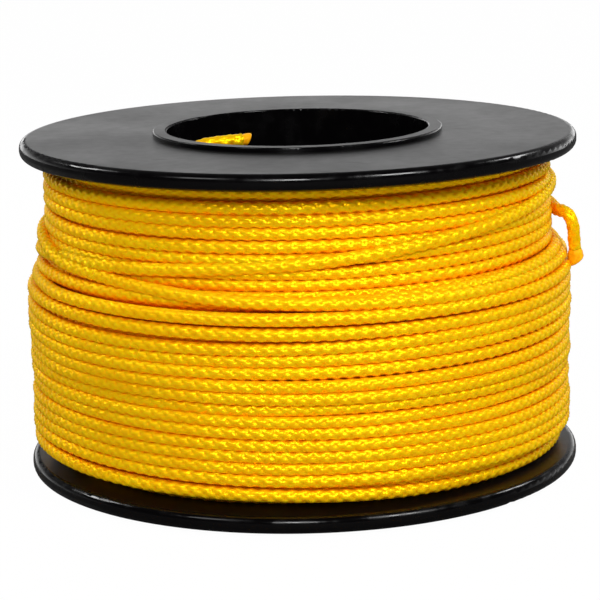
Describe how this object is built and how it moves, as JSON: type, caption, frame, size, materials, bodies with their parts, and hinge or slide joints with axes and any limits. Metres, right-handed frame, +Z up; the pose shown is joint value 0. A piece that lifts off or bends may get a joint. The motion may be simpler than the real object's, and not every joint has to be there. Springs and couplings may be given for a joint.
{
  "type": "cord spool",
  "caption": "Small black moulded spool with two thin round flanges, wound full with yellow braided cord; one end of the cord stands free, the other is fixed in the bore.",
  "frame": {"origin": "centre of the spool's lower end, on the surface that it stands on", "axes": "+Z up along the spool's axis; -Y is the side that is looked at, and the free end of the cord leaves towards +X"},
  "size_m": [0.0577, 0.057, 0.0353],
  "materials": {
    "black_plastic": "moulded black plastic, satin faces and glossy rims",
    "yellow_cord": "braided golden yellow nylon cord",
    "melted_cord": "heat-sealed cord end"
  },
  "bodies": {
    "root": {"barrel": "black_plastic", "lower_flange": "black_plastic", "upper_flange": "black_plastic", "cord_winding": "yellow_cord", "cord_start_tail": "yellow_cord", "start_tip": "melted_cord", "cord_free_tail": "yellow_cord", "free_tip": "melted_cord"}
  },
  "joints": []
}
